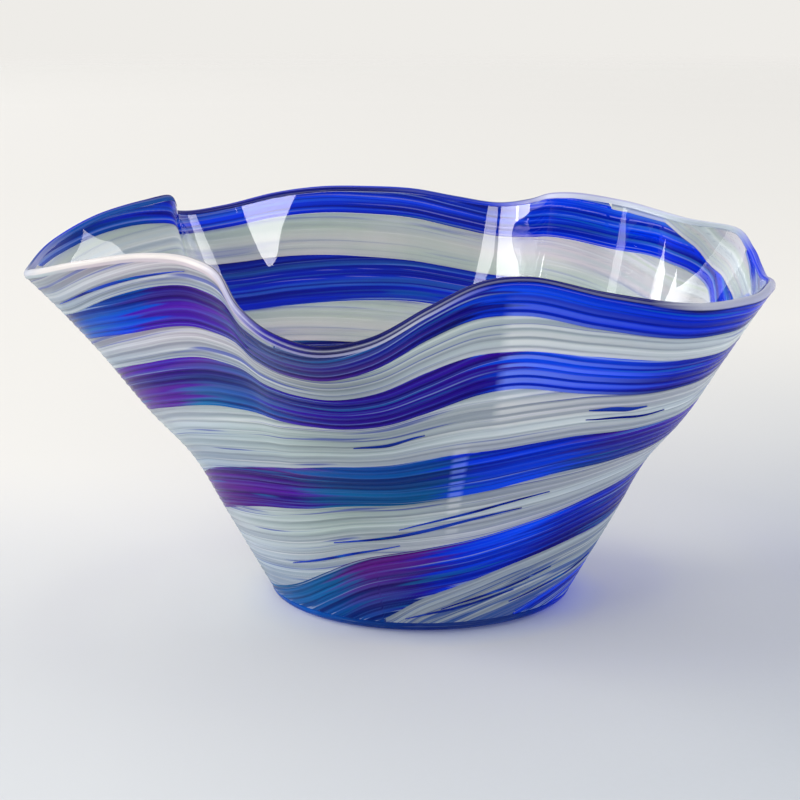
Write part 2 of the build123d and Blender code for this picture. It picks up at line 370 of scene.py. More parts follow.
# Colours of the lip round the rim: angle, then its outer side, its top and its inner side. The cream top on
# the front left is a painted highlight.
LIP_TINTS = [
    (0, PEARL, ROYAL, ROYAL),
    (12, PEARL, ROYAL, ROYAL),
    (17, PEARL, PEARL, PALE),
    (60, LILAC, LILAC, PEARL),
    (66, LILAC, SMOKE, LILAC),
    (76, SMOKE, SMOKE, ROYAL),
    (100, SMOKE, ROYAL, NAVY),
    (146, SMOKE, INDIGO, NAVY),
    (152, SMOKE, NAVY, TEAL),
    (168, SMOKE, ROYAL, TEAL),
    (178, MIST, SMOKE, LILAC),
    (186, PALE, PEARL, HAIR),
    (196, PALE, CREAM_HIGHLIGHT, HAIR),
    (206, BLUSH, CREAM_HIGHLIGHT, HAIR),
    (232, BLUSH, CREAM_HIGHLIGHT, HAIR),
    (243, BLUSH, LILAC, HAIR),
    (250, LILAC, INDIGO, INK),
    (258, LILAC, INK, INK),
    (268, PEARL, NAVY, INK),
    (280, ROYAL, NAVY, INK),
    (303, ROYAL, NAVY, INK),
    (311, NAVY, PEARL, HAIR),
    (318, ROYAL, PEARL, HAIR),
    (342, ROYAL, PEARL, HAIR),
    (352, PEARL, LILAC, ROYAL),
    (360, PEARL, ROYAL, ROYAL),
]

# Fine lines drawn along the lip, a painted shade line along its sides and a painted highlight line over its
# top: angle, share of the way over the lip from outside, strength.
LIP_SHADE_LINE = [
    (0, 0.1, 0.5),
    (150, 0.1, 0),
    (151, 0.72, 0),
    (195, 0.72, 0.3),
    (210, 0.6, 0.9),
    (242, 0.6, 0.9),
    (252, 0.7, 0.9),
    (262, 0.7, 0.9),
    (299, 0.7, 0.5),
    (300, 0.7, 0),
    (301, 0.12, 0),
    (311, 0.12, 0.9),
    (345, 0.12, 0.9),
    (360, 0.1, 0.5),
]
LIP_HIGHLIGHT_LINE = [
    (0, 0.3, 0.5),
    (20, 0.5, 0.2),
    (180, 0.5, 0.2),
    (256, 0.35, 0.6),
    (268, 0.3, 0.8),
    (280, 0.3, 0.3),
    (303, 0.3, 0.3),
    (311, 0.5, 0.8),
    (345, 0.5, 0.8),
    (360, 0.3, 0.5),
]

# Colour of the foot's middle, seen through the floor of the bowl, and its colours round the edge: angle,
# colour.
FOOT_MIDDLE = (52, 74, 158)
FOOT_TINTS = [
    (0, ROYAL),
    (90, NAVY),
    (180, TEAL),
    (215, AZURE),
    (235, TEAL),
    (255, (0, 66, 150)),
    (272, (20, 60, 150)),
    (286, (38, 72, 150)),
    (300, (44, 80, 158)),
    (312, (20, 66, 160)),
    (330, ROYAL),
    (360, ROYAL),
]


# --- the wall formula ------------------------------------------------------------------------------------
def smooth(rows, x, column):
    """Values at x of the smooth curve that the rows' column makes against their first entry."""
    table = np.array(rows, float)
    xs, ys = table[:, 0], table[:, column]
    gaps = np.diff(xs)
    chords = np.diff(ys) / gaps
    slopes = np.concatenate([chords[:1], chords, chords[-1:]])[:-1]
    slopes[1:-1] = (chords[:-1] * gaps[1:] + chords[1:] * gaps[:-1]) / (gaps[:-1] + gaps[1:])
    k = np.clip(np.searchsorted(xs, x, side="right") - 1, 0, len(gaps) - 1)
    t = (x - xs[k]) / gaps[k]
    ends = (1 + 2 * t) * (1 - t) ** 2 * ys[k] + t * t * (3 - 2 * t) * ys[k + 1]
    return ends + gaps[k] * (t * (1 - t) ** 2 * slopes[k] - t * t * (1 - t) * slopes[k + 1])


def turned(rows, turn):
    """The same rows one turn on, so that a curve round the rim closes on itself."""
    return [(row[0] + turn, *row[1:]) for row in rows]


RIM_ROUND = turned(RIM[-3:], -360) + RIM + turned(RIM[:3], 360)


def surface(angle, share):
    """Radius and height of the wall's outer surface."""
    flute = np.clip((share - FLUTE_START) / (1 - FLUTE_START), 0, None) ** FLUTE_POWER
    radius = smooth(WALL_LINE, share, 1) + flute * (smooth(RIM_ROUND, angle % 360, 1) - WALL_LINE[-1][1])
    height = smooth(WALL_LINE, share, 2) + flute * (smooth(RIM_ROUND, angle % 360, 2) - WALL_LINE[-1][2])
    return radius, height


def wall(angle, share, depth):
    """Radius and height at a depth under the outer surface, as an array whose last axis is the pair."""
    angle, share, depth = np.broadcast_arrays(angle, np.clip(share, 0, 1), depth)
    low = surface(angle, np.clip(share - 0.005, 0, 1))
    high = surface(angle, np.clip(share + 0.005, 0, 1))
    run, rise = high[0] - low[0], high[1] - low[1]
    length = np.hypot(run, rise)
    radius, height = surface(angle, share)
    return np.stack([radius - depth * rise / length, height + depth * run / length], -1)


def spin(angle, profile):
    """Points in space of (radius, height) pairs at an angle."""
    a = np.radians(angle)
    return np.stack([profile[..., 0] * np.cos(a), profile[..., 0] * np.sin(a), profile[..., 1]], -1)


# Angles of the sections of a piece that closes on itself.
AROUND = np.arange(0.0, 360.0, 0.75)[:, None]


# --- meshes ------------------------------------------------------------------------------------------------
def new_piece(name, points, ring, sharp=50, hidden=None):
    """A closed piece from a grid of points in mm: rows are sections, each a closed loop.

    A ring joins its last section to its first, and any other piece is capped. Edges sharper than sharp
    degrees stay sharp. hidden marks the columns whose faces are fused to other glass, which take the second
    material."""
    sections, around = points.shape[:2]
    index = np.arange(sections * around).reshape(sections, around)
    ahead = np.roll(index, -1, axis=0) if ring else index[1:]
    here = index if ring else index[:-1]
    quads = np.stack([here, np.roll(here, -1, 1), np.roll(ahead, -1, 1), ahead], -1).reshape(-1, 4)
    faces = quads.tolist()
    if not ring:
        faces += [index[0][::-1].tolist(), index[-1].tolist()]
    mesh = bpy.data.meshes.new(name)
    mesh.from_pydata((points.reshape(-1, 3) * MM).tolist(), [], faces)
    if hidden is not None:
        marks = np.zeros(len(faces), np.int32)
        marks[: len(quads)] = np.broadcast_to(hidden, here.shape).ravel()
        mesh.polygons.foreach_set("material_index", marks)
    piece = bpy.data.objects.new(name, mesh)
    bpy.context.scene.collection.objects.link(piece)
    mesh["sharp"] = sharp
    return piece


def add_vectors(piece, name, values):
    """Stores one vector for each point of a piece, for its material to read."""
    layer = piece.data.attributes.new(name, "FLOAT_VECTOR", "POINT")
    layer.data.foreach_set("vector", np.ascontiguousarray(values, np.float32).ravel())


def close_up(piece):
    """Merges points that meet, drops faces with no area, turns the faces outwards and shades them."""
    shape = bmesh.new()
    shape.from_mesh(piece.data)
    bmesh.ops.remove_doubles(shape, verts=shape.verts, dist=1e-6)
    bmesh.ops.dissolve_degenerate(shape, edges=shape.edges, dist=1e-7)
    bmesh.ops.recalc_face_normals(shape, faces=shape.faces)
    shape.to_mesh(piece.data)
    shape.free()
    piece.data.shade_smooth()
    piece.data.set_sharp_from_angle(angle=radians(piece.data["sharp"]))
    del piece.data["sharp"]


def edge(rows, column, turn):
    """Share of a cobalt stripe's edge along the turns: 0 before it leaves the foot, 1 past the rim.

    An edge less than a least band from the foot or the lip is taken all the way there."""
    share = smooth(rows, np.clip(turn, rows[0][0], rows[-1][0]), column)
    waver = 0.6 * np.sin(np.radians(turn * 7 + 90 * column)) + 0.4 * np.sin(np.radians(turn * 15))
    share = share + waver * EDGE_WAVER * np.clip(0.8 - share, 0, 1)
    return np.where(share < SKIN_LOW + LEAST_BAND, 0.0, np.where(share > SKIN_HIGH - LEAST_BAND, 1.0, share))


def ridges(turn, level):
    """Height, from -1 to 1, of the fine ridges drawn along the stripes, level mm from a stripe's edge."""
    drift = 0.9 * np.sin(np.radians(turn * 0.7)) + 0.5 * np.sin(np.radians(turn * 1.9 + 60))
    return 0.7 * np.sin(level * 2 * pi / 2.9 + drift) + 0.3 * np.sin(level * 2 * pi / 1.63 - 2 * drift)


def shine(angle, share):
    """How brightly the polished crests are painted as catching the window, a painted reflection: a patch
    right of the front valley, and a painted glint.
    """
    patch = np.interp(angle, [282.4, 283.4, 298, 314], [0, 1, 0.55, 0])
    patch = patch * np.interp(share, [0.6, 0.68, 0.9, 0.97], [0, 1, 1, 0])
    glint = np.interp(angle, [275, 276, 278, 279], [0, 1, 1, 0])
    glint = glint * np.interp(share, [0.28, 0.34, 0.56, 0.6], [0, 0.8, 0.8, 0])
    return np.maximum(patch, glint)


def crowding(angle, share):
    """How thickly strands of the other glass cross a stripe, from 0 to 1: most near the foot, in front."""
    low = np.interp(share, [0.02, 0.3], [1, 0])
    return low * np.interp(angle, [0, 60, 200, 235, 262, 285, 340, 360], [0.7, 0.6, 0.5, 0.2, 0.5, 1, 1, 0.7])


def tint_at(rows, column, angle):
    """Linear colours at an angle, from rows whose first entry is an angle and whose column is a colour."""
    stops = [row[0] for row in rows]
    return np.stack([np.interp(angle, stops, [srgb(row[column][i]) for row in rows]) for i in range(3)], -1)


def ribbon(name, below, above, tints):
    """The stripe that winds up the wall between two edges, ridged along its length.

    Each edge is a cobalt stripe's rows, the column of the edge, and the turns it is ahead by."""
    turn = np.arange(FIRST_TURN, LAST_TURN, 1.0)
    low = np.maximum(edge(below[0], below[1], turn + below[2]) + EDGE_GAP, SKIN_LOW)
    high = np.minimum(edge(above[0], above[1], turn + above[2]) - EDGE_GAP, SKIN_HIGH)
    kept = high - low > LEAST_BAND
    turn, low, high = turn[kept, None], low[kept, None], high[kept, None]
    rows = int((high - low).max() * WALL_LENGTH / ROW_PITCH)
    across = np.concatenate([np.linspace(0, 1, rows), np.linspace(1, 0, rows // 2)])[None]
    is_back = np.arange(across.shape[1]) >= rows
    share = low + (high - low) * across
    climb = np.clip((turn - turn[0] - 90) / 270, 0, 1)
    climb = climb * climb * (3 - 2 * climb)
    level = ((share - low) * climb + (share - high) * (1 - climb)) * WALL_LENGTH
    hem = np.minimum(share - low, high - share) * WALL_LENGTH
    crest = ridges(turn, level)
    depth = np.where(is_back, SKIN, -RIDGE * crest * np.clip(hem / HEM, 0, 1))
    piece = new_piece(name, spin(turn, wall(turn, share, depth)), ring=False, hidden=is_back)
    ragged = turn + 4 * np.sin(1.3 * level) + 3 * np.sin(2.9 * level + 1)
    lower, upper = tint_at(tints, 1, ragged), tint_at(tints, 2, ragged)
    add_vectors(piece, "tint", lower + (upper - lower) * across[..., None])
    along = turn * MEAN_RADIUS * pi / 180
    add_vectors(piece, "flow", np.stack(np.broadcast_arrays(along, level, hem), -1))
    # The ridge attribute holds the ridges' height, the painted window reflection from shine, and the crowding
    # of strands.
    looks = crest, shine(turn % 360, share), crowding(turn % 360, share)
    add_vectors(piece, "ridge", np.stack(np.broadcast_arrays(*looks), -1))
    close_up(piece)
    return piece


def srgb(value):
    """Linear value of an 8-bit sRGB one."""
    v = value / 255
    return v / 12.92 if v <= 0.04045 else ((v + 0.055) / 1.055) ** 2.4


def colour(rgb):
    """Linear RGBA of an 8-bit sRGB colour."""
    return (*[srgb(v) for v in rgb], 1.0)


# --- materials ----------------------------------------------------------------------------------------------
def material(name):
    """A new material with no nodes yet, and a function that adds one to it.

    The function takes the node's kind, its settings and input values, and the sockets that feed its inputs,
    where _0 is the input at index 0 and an underscore stands for a space."""
    made = bpy.data.materials.new(name)
    made.use_nodes = True
    tree = made.node_tree
    tree.nodes.clear()

    def node(kind, values=None, **links):
        added = tree.nodes.new("ShaderNode" + kind)
        for key, value in (values or {}).items():
            if isinstance(key, int) or key in added.inputs:
                added.inputs[key].default_value = value
            else:
                setattr(added, key, value)
        for key, source in links.items():
            target = int(key[1:]) if key[0] == "_" and key[1:].isdigit() else key.replace("_", " ")
            tree.links.new(source, added.inputs[target])
        return added

    return made, node


def streaks(node, flow, scale, detail=3.0):
    """Noise drawn out along a stripe. scale is (along, across) in streaks per mm."""
    stretched = node("VectorMath", {"operation": "MULTIPLY", 1: (*scale, 0)}, _0=flow)
    return node("TexNoise", {"Scale": 1.0, "Detail": detail}, Vector=stretched.outputs[0]).outputs["Fac"]


def ramp(node, source, low, high, to_low=0.0, to_high=1.0):
    """source, taken from low to high and stretched to the new ends."""
    mapped = node(
        "MapRange", {"From Min": low, "From Max": high, "To Min": to_low, "To Max": to_high}, Value=source
    )
    return mapped.outputs["Result"]


def blend_colour(node, factor, first, second, mode="MIX"):
    """Mix of two colours, each a socket or an RGBA value, by a factor that is a socket or a number."""
    mix = node("Mix", {"data_type": "RGBA", "blend_type": mode})
    tree = mix.id_data
    for socket, value in ((mix.inputs[0], factor), (mix.inputs[6], first), (mix.inputs[7], second)):
        if hasattr(value, "links"):
            tree.links.new(value, socket)
        else:
            socket.default_value = value
    return mix.outputs[2]


def blend_shader(node, factor, first, second):
    """Mix of two shaders by a number or a socket."""
    mix = node("MixShader")
    tree = mix.id_data
    if hasattr(factor, "links"):
        tree.links.new(factor, mix.inputs[0])
    else:
        mix.inputs[0].default_value = factor
    tree.links.new(first, mix.inputs[1])
    tree.links.new(second, mix.inputs[2])
    return mix.outputs[0]


def lamps_pass(made, node, seen, tint):
    """Finishes a glass: it looks like the shader seen, and lamps shine through it in a tint."""
    path = node("LightPath")
    passing = node("BsdfTransparent")
    if hasattr(tint, "links"):
        made.node_tree.links.new(tint, passing.inputs["Color"])
    else:
        passing.inputs["Color"].default_value = tint
    mixed = blend_shader(node, path.outputs["Is Shadow Ray"], seen, passing.outputs[0])
    node("OutputMaterial", None, Surface=mixed)
    return made


def stripe_glass(name, drawn, polished, glow_share, clear_share, passing, lift=0.0):
    """Coloured glass: drawn gives its colour from the node maker, and a polished face is glossy.

    glow_share of it glows with light from behind, clear_share of it is clear, and lamps shine through it
    in its own colour whitened by passing. lift whitens the colour itself."""
    made, node = material(name)
    # lift whitens the paint itself: painted light, for faces that should look more lit.
    paint = blend_colour(node, lift, drawn(node), WHITE)
    finish = {"Roughness": 0.07 if polished else 0.5, "Specular IOR Level": 0.12 if polished else 0.0}
    body = node("BsdfPrincipled", finish, Base_Color=paint)
    glow = node("BsdfTranslucent", None, Color=paint)
    clear = node("BsdfTransparent", None, Color=blend_colour(node, 0.4, paint, WHITE))
    lit = blend_shader(node, glow_share, body.outputs[0], glow.outputs[0])
    seen = blend_shader(node, clear_share, lit, clear.outputs[0])
    return lamps_pass(made, node, seen, blend_colour(node, passing, paint, WHITE))


def stripe_inputs(node):
    """A stripe's tint, flow (mm along, mm across), mm from its nearer edge, ridges, painted window reflection
    and crowding.
    """
    tint = node("Attribute", {"attribute_name": "tint"}).outputs["Vector"]
    flow = node("Attribute", {"attribute_name": "flow"}).outputs["Vector"]
    ridge = node("Attribute", {"attribute_name": "ridge"}).outputs["Vector"]
    hem = node("SeparateXYZ", None, Vector=flow).outputs["Z"]
    lines = node("SeparateXYZ", None, Vector=ridge).outputs
    return tint, flow, hem, lines["X"], lines["Y"], lines["Z"]


def add(node, first, second):
    """Sum of two sockets."""
    return node("Math", {"operation": "ADD"}, _0=first, _1=second).outputs[0]


def times(node, first, second):
    """Product of two sockets."""
    return node("Math", {"operation": "MULTIPLY"}, _0=first, _1=second).outputs[0]


def cobalt_paint(node):
    """Cobalt: darker and lighter streaks, light lines on the ridges as painted highlight and shade, pale
    strands near the foot, and a painted window reflection.
    """
    tint, flow, hem, ridge, painted_shine, crowd = stripe_inputs(node)
    broad = streaks(node, flow, (0.005, 0.30), detail=1.0)
    fine = streaks(node, flow, (0.006, 0.85), detail=1.0)
    deep = blend_colour(node, 1.0, tint, colour((150, 140, 190)), "MULTIPLY")
    body = blend_colour(node, ramp(node, broad, 0.36, 0.60), deep, tint)
    # The ridges' lines are partly the threads' own and partly painted light: grooves darkened as painted
    # shade, crests lightened as a painted highlight.
    painted_groove_shade = blend_colour(node, ramp(node, ridge, -0.4, -0.95, 0, 0.5), body, colour((6, 6, 80)))
    light = blend_colour(node, 0.35, tint, colour((90, 160, 255)))
    crest = blend_colour(node, ramp(node, ridge, 0.25, 0.95, 0, 0.4), painted_groove_shade, light)
    lined = blend_colour(node, ramp(node, fine, 0.58, 0.70, 0, 0.5), crest, light)
    wide = streaks(node, flow, (0.012, 0.42), detail=1.0)
    low = ramp(node, crowd, 0.0, 1.0, 0.0, 0.13)
    torn = ramp(node, add(node, low, wide), 0.66, 0.71, 0, 0.6)
    ragged = blend_colour(node, torn, lined, colour((20, 125, 190)))
    pale = add(node, add(node, ramp(node, hem, 0.0, 2.0, 0.10, 0.0), low), fine)
    strands = blend_colour(node, ramp(node, pale, 0.70, 0.75, 0, 0.75), ragged, colour((170, 190, 212)))
    # Painted window reflection: the crests are lightened where shine says.
    lit = times(node, ramp(node, ridge, -0.35, 0.25, 0, 0.75), painted_shine)
    return blend_colour(node, lit, strands, colour((150, 178, 255)))


def opal_paint(node):
    """Opal: grey and white streaks, painted highlight and shade on the ridges, a painted window reflection,
    and blue strands that crowd together near the foot.
    """
    tint, flow, hem, ridge, painted_shine, crowd = stripe_inputs(node)
    broad = streaks(node, flow, (0.004, 0.22), detail=1.0)
    fine = streaks(node, flow, (0.005, 0.7), detail=1.0)
    hair = streaks(node, flow, (0.006, 1.0), detail=1.0)
    grey = blend_colour(node, 1.0, tint, colour((206, 208, 216)), "MULTIPLY")
    body = blend_colour(node, ramp(node, broad, 0.36, 0.64), grey, tint)
    # The ridges' lines are partly the threads' own and partly painted light: grooves darkened as painted
    # shade, crests lightened as a painted highlight.
    painted_groove_shade = blend_colour(node, ramp(node, ridge, -0.4, -0.95, 0, 0.45), body, colour((120, 128, 140)))
    crest = blend_colour(node, ramp(node, ridge, 0.3, 0.95, 0, 0.4), painted_groove_shade, colour((226, 232, 230)))
    lined = blend_colour(node, ramp(node, fine, 0.58, 0.72, 0, 0.6), crest, colour((238, 240, 240)))
    low = ramp(node, crowd, 0.0, 1.0, 0.0, 0.165)
    strands = add(node, add(node, ramp(node, hem, 0.0, 5.0, 0.09, 0.0), low), hair)
    blue = blend_colour(node, ramp(node, crowd, 0.0, 0.5), colour((60, 80, 170)), colour((20, 80, 165)))
    threaded = blend_colour(node, ramp(node, strands, 0.67, 0.75, 0, 0.7), lined, blue)
    wide = add(node, streaks(node, flow, (0.011, 0.36), detail=1.0), ramp(node, crowd, 0.15, 1.0, 0.0, 0.235))
    drawn = blend_colour(node, ramp(node, wide, 0.66, 0.70, 0, 0.8), threaded, blue)
    # Painted window reflection: the crests are lightened where shine says.
    lit = times(node, ramp(node, ridge, -0.35, 0.25, 0, 0.6), painted_shine)
    return blend_colour(node, lit, drawn, colour((240, 242, 240)))


def cobalt_inside(node):
    """Cobalt seen from inside the bowl, with the pale lines that show between its threads."""
    _, flow, _, ridge, _, _ = stripe_inputs(node)
    fine = streaks(node, flow, (0.004, 0.5), detail=1.0)
    crests = ramp(node, ridge, 0.62, 0.95, 0, 0.75)
    pink = blend_colour(node, crests, cobalt_paint(node), colour((200, 190, 218)))
    return blend_colour(node, ramp(node, fine, 0.54, 0.66, 0, 0.6), pink, colour((70, 150, 220)))


def opal_inside(node):
    """Opal seen from inside the bowl: pinkish and greenish, partly a painted iridescent sheen, with blue-grey
    lines.
    """
    _, flow, _, ridge, _, _ = stripe_inputs(node)
    fine = streaks(node, flow, (0.004, 0.45), detail=1.0)
    broad = streaks(node, flow, (0.003, 0.12), detail=1.0)
    # Pinkish and greenish cast, partly a painted iridescent sheen.
    cast = blend_colour(node, ramp(node, broad, 0.42, 0.58), colour((180, 192, 172)), colour((202, 188, 192)))
    warm = blend_colour(node, ramp(node, fine, 0.38, 0.60), opal_paint(node), cast)
    lined = blend_colour(node, ramp(node, ridge, -0.55, -0.95, 0, 0.55), warm, colour((96, 118, 158)))
    return blend_colour(node, ramp(node, ridge, 0.7, 0.98, 0, 0.6), lined, colour((236, 228, 226)))


def lip_paint(node):
    """The lip takes the colour of the stripe under it, drawn into fine lines along the rim."""
    tint, flow = stripe_inputs(node)[:2]
    fine = streaks(node, flow, (0.012, 1.6))
    return blend_colour(node, ramp(node, fine, 0.5, 0.7, 0, 0.25), tint, colour((225, 226, 236)))


def foot_paint(node):
    """The foot: the colours of the stripes above, marbled with navy and a few pale strands."""
    tint, flow = stripe_inputs(node)[:2]
    broad = streaks(node, flow, (0.05, 0.15), detail=2.0)
    fine = streaks(node, flow, (0.06, 0.7))
    body = blend_colour(node, ramp(node, broad, 0.4, 0.6, 0.35, 0), tint, colour(NAVY))
    return blend_colour(node, ramp(node, fine, 0.58, 0.7, 0, 0.6), body, colour((150, 175, 205)))


def clear_glass(name, tint, polished=True, worn=False):
    """Clear glass with a thin gloss: what is behind it shows, and lamps reach through it.

    Worn glass takes its polish from the piece's own attribute."""
    made, node = material(name)
    where = node("TexCoord").outputs["Object"]
    cloud = node("TexNoise", {"Scale": 25.0, "Detail": 3.0}, Vector=where).outputs["Fac"]
    tinted = blend_colour(node, ramp(node, cloud, 0.3, 0.7), colour(tint), WHITE)
    clear = node("BsdfTransparent", None, Color=tinted)
    if not polished:
        return lamps_pass(made, node, clear.outputs[0], LAMP_TINT)
    ripple = node("Bump", {"Strength": 0.04, "Distance": 0.001}, Height=cloud)
    gloss = node("BsdfGlossy", {"Roughness": 0.02, "Color": WHITE}, Normal=ripple.outputs[0])
    mirror = node("Fresnel", {"IOR": 1.7}, Normal=ripple.outputs[0]).outputs[0]
    if worn:
        polish = node("Attribute", {"attribute_name": "polish"}).outputs["Fac"]
        mirror = times(node, mirror, polish)
    seen = blend_shader(node, mirror, clear.outputs[0], gloss.outputs[0])
    return lamps_pass(made, node, seen, LAMP_TINT)


def table_paper():
    """Matt paper: a little darker and cooler in front of the bowl and to its right, a painted shadow, and
    painted blue light under its foot.

    Far away it fades into the background."""
    made, node = material("table_paper")
    where = node("TexCoord").outputs["Object"]
    split = node("SeparateXYZ", None, Vector=where)
    across, back = split.outputs["X"], split.outputs["Y"]
    reach = node("VectorMath", {"operation": "LENGTH"}, _0=where).outputs["Value"]
    close = ramp(node, reach, 1.0, 0.4)
    # Painted shade: the paper is darker and cooler in front of the bowl.
    front = times(node, ramp(node, back, 0.2, -0.3), close)
    right = times(node, ramp(node, across, -0.1, 0.25), ramp(node, back, 0.6, 0.0))
    far = blend_colour(node, ramp(node, reach, 1.5, 14.0), colour((215, 213, 209)), colour((255, 253, 250)))
    front_painted_shade = blend_colour(node, front, far, colour((196, 200, 204)))
    clear_of_foot = ramp(node, reach, 0.07, 0.2, 0.3, 1)
    # Painted shadow of the bowl, to its right, kept lighter right by the foot.
    shade = times(node, times(node, right, close), clear_of_foot)
    paper_painted_shadows = blend_colour(node, shade, front_painted_shade, colour((168, 174, 182)))
    # Painted blue light under the foot, standing in for light cast through the blue glass.
    foot_painted_glow = times(node, ramp(node, reach, 0.072, 0.052), ramp(node, across, -0.045, 0.01, 0.1, 0.42))
    lit = blend_colour(node, foot_painted_glow, paper_painted_shadows, colour((142, 168, 226)))
    grain = node("TexNoise", {"Scale": 400.0, "Detail": 2.0}, Vector=where).outputs["Fac"]
    paper = blend_colour(node, ramp(node, grain, 0.4, 0.6, 0, 0.04), lit, colour((200, 204, 212)))
    matt = node("BsdfPrincipled", {"Roughness": 0.8}, Base_Color=paper)
    gone = node("BsdfTransparent")
    faded = blend_shader(node, ramp(node, reach, *TABLE_FADE), matt.outputs[0], gone.outputs[0])
    node("OutputMaterial", None, Surface=faded)
    return made


# --- camera and light ---------------------------------------------------------------------------------------
def camera():
    """The camera, a little above the rim and in front of the bowl."""
    seen = bpy.data.cameras.new("camera")
    seen.lens = 90
    seen.sensor_width = 36
    taken = bpy.data.objects.new("camera", seen)
    taken.location = (-0.0081, -0.7411, 0.2314)
    taken.rotation_euler = (radians(78), 0, 0)
    bpy.context.scene.collection.objects.link(taken)
    bpy.context.scene.camera = taken


def window(name, azimuth, elevation, wide, high, brightness):
    """A bright rectangle seen from the bowl: where it is and how large, all in degrees.

    Azimuth is clockwise from +Y seen from above, so 90 is to the right and 180 is behind the camera."""
    lamp = bpy.data.lights.new(name, "AREA")
    lamp.shape = "RECTANGLE"
    lamp.size = 2 * WINDOW_DISTANCE * tan(radians(wide / 2))
    lamp.size_y = 2 * WINDOW_DISTANCE * tan(radians(high / 2))
    lamp.energy = brightness * lamp.size * lamp.size_y * pi
    lamp.color = (1.0, 0.995, 0.985)
    a, e = radians(azimuth), radians(elevation)
    towards = Vector((sin(a) * cos(e), cos(a) * cos(e), sin(e)))
    box = bpy.data.objects.new(name, lamp)
    box.location = Vector((0, 0, 0.1)) + WINDOW_DISTANCE * towards
    box.rotation_euler = (-towards).to_track_quat("-Z", "Y").to_euler()
    bpy.context.scene.collection.objects.link(box)


def sky():
    """A studio sky: bright overhead and behind the bowl, dim behind the camera."""
    made = bpy.data.worlds.new("studio")
    made.use_nodes = True
    tree = made.node_tree
    tree.nodes.clear()

    def slope(source, low, high, to_low, to_high):
        step = tree.nodes.new("ShaderNodeMapRange")
        step.interpolation_type = "SMOOTHSTEP"
        for socket, value in zip(step.inputs[1:5], (low, high, to_low, to_high)):
            socket.default_value = value
        tree.links.new(source, step.inputs[0])
        return step.outputs[0]

    split = tree.nodes.new("ShaderNodeSeparateXYZ")
    tree.links.new(tree.nodes.new("ShaderNodeTexCoord").outputs["Generated"], split.inputs[0])
    overhead = slope(split.outputs["Z"], 0.66, 0.9, 0.0, 0.6)
    behind = slope(split.outputs["Y"], -0.3, 0.6, 0.1, 0.75)
    light = tree.nodes.new("ShaderNodeBackground")
    light.inputs["Color"].default_value = WHITE
    both = tree.nodes.new("ShaderNodeMath")
    both.operation = "ADD"
    tree.links.new(overhead, both.inputs[0])
    tree.links.new(behind, both.inputs[1])
    tree.links.new(both.outputs[0], light.inputs["Strength"])
    pale = tree.nodes.new("ShaderNodeBackground")
    pale.inputs["Color"].default_value = colour((238, 236, 232))
    mix = tree.nodes.new("ShaderNodeMixShader")
    tree.links.new(tree.nodes.new("ShaderNodeLightPath").outputs["Is Camera Ray"], mix.inputs[0])
    tree.links.new(light.outputs[0], mix.inputs[1])
    tree.links.new(pale.outputs[0], mix.inputs[2])
    tree.links.new(mix.outputs[0], tree.nodes.new("ShaderNodeOutputWorld").inputs[0])
    bpy.context.scene.world = made


camera()
sky()
bpy.context.scene.view_settings.view_transform = "Standard"
bpy.context.scene.cycles.transparent_max_bounces = 32
window("window_left", -100, 29, 76, 20, 7.0)
window("window_far_left", -76, 14.5, 30, 11, 7.0)
window("window_above", -165, 38.5, 40, 6, 5.0)
window("window_camera", 177.5, 21.5, 23, 17, 7.0)
window("window_right", 86, 36, 34, 12, 4.0)


def table():
    """The pale table that the bowl stands on."""
    steps = np.linspace(0, 2 * pi, 65)[:-1]
    points = [(TABLE_REACH * cos(a), TABLE_REACH * sin(a), 0.0) for a in steps]
    mesh = bpy.data.meshes.new("table")
    mesh.from_pydata(points, [], [list(range(len(points)))])
    top = bpy.data.objects.new("table", mesh)
    bpy.context.scene.collection.objects.link(top)
    mesh.materials.append(table_paper())


table()

# --- the pieces ---------------------------------------------------------------------------------------------
cobalt = [
    stripe_glass("cobalt_outer", cobalt_paint, True, 0.45, 0.06, 0.35),
    stripe_glass("cobalt_inner", cobalt_inside, False, 0.55, 0.06, 0.35),
]
opal = [
    stripe_glass("opal_outer", opal_paint, True, 0.45, 0.2, 0.5),
    # The opal's inner face is whitened by lift: painted light, so that it looks more lit.
    stripe_glass("opal_inner", opal_inside, False, 0.45, 0.2, 0.5, lift=0.3),
]


def place(piece, node, looks):
    """Puts a finished piece in place of its CAD node."""
    for look in looks:
        piece.data.materials.append(look)
    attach(piece, "root")
    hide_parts(node)


place(
    ribbon("cobalt_ribbon_1", (COBALT_1, 1, 0), (COBALT_1, 2, 0), COBALT_1_TINTS),
    "cobalt_stripe_1", cobalt,
)
place(
    ribbon("cobalt_ribbon_2", (COBALT_2, 1, 0), (COBALT_2, 2, 0), COBALT_2_TINTS),
    "cobalt_stripe_2", cobalt,
)
place(
    ribbon("opal_ribbon_1", (COBALT_1, 2, 0), (COBALT_2, 1, 0), OPAL_TINTS),
    "opal_stripe_1", opal,
)
place(
    ribbon("opal_ribbon_2", (COBALT_2, 2, 0), (COBALT_1, 1, 360), OPAL_TINTS),
    "opal_stripe_2", opal,
)


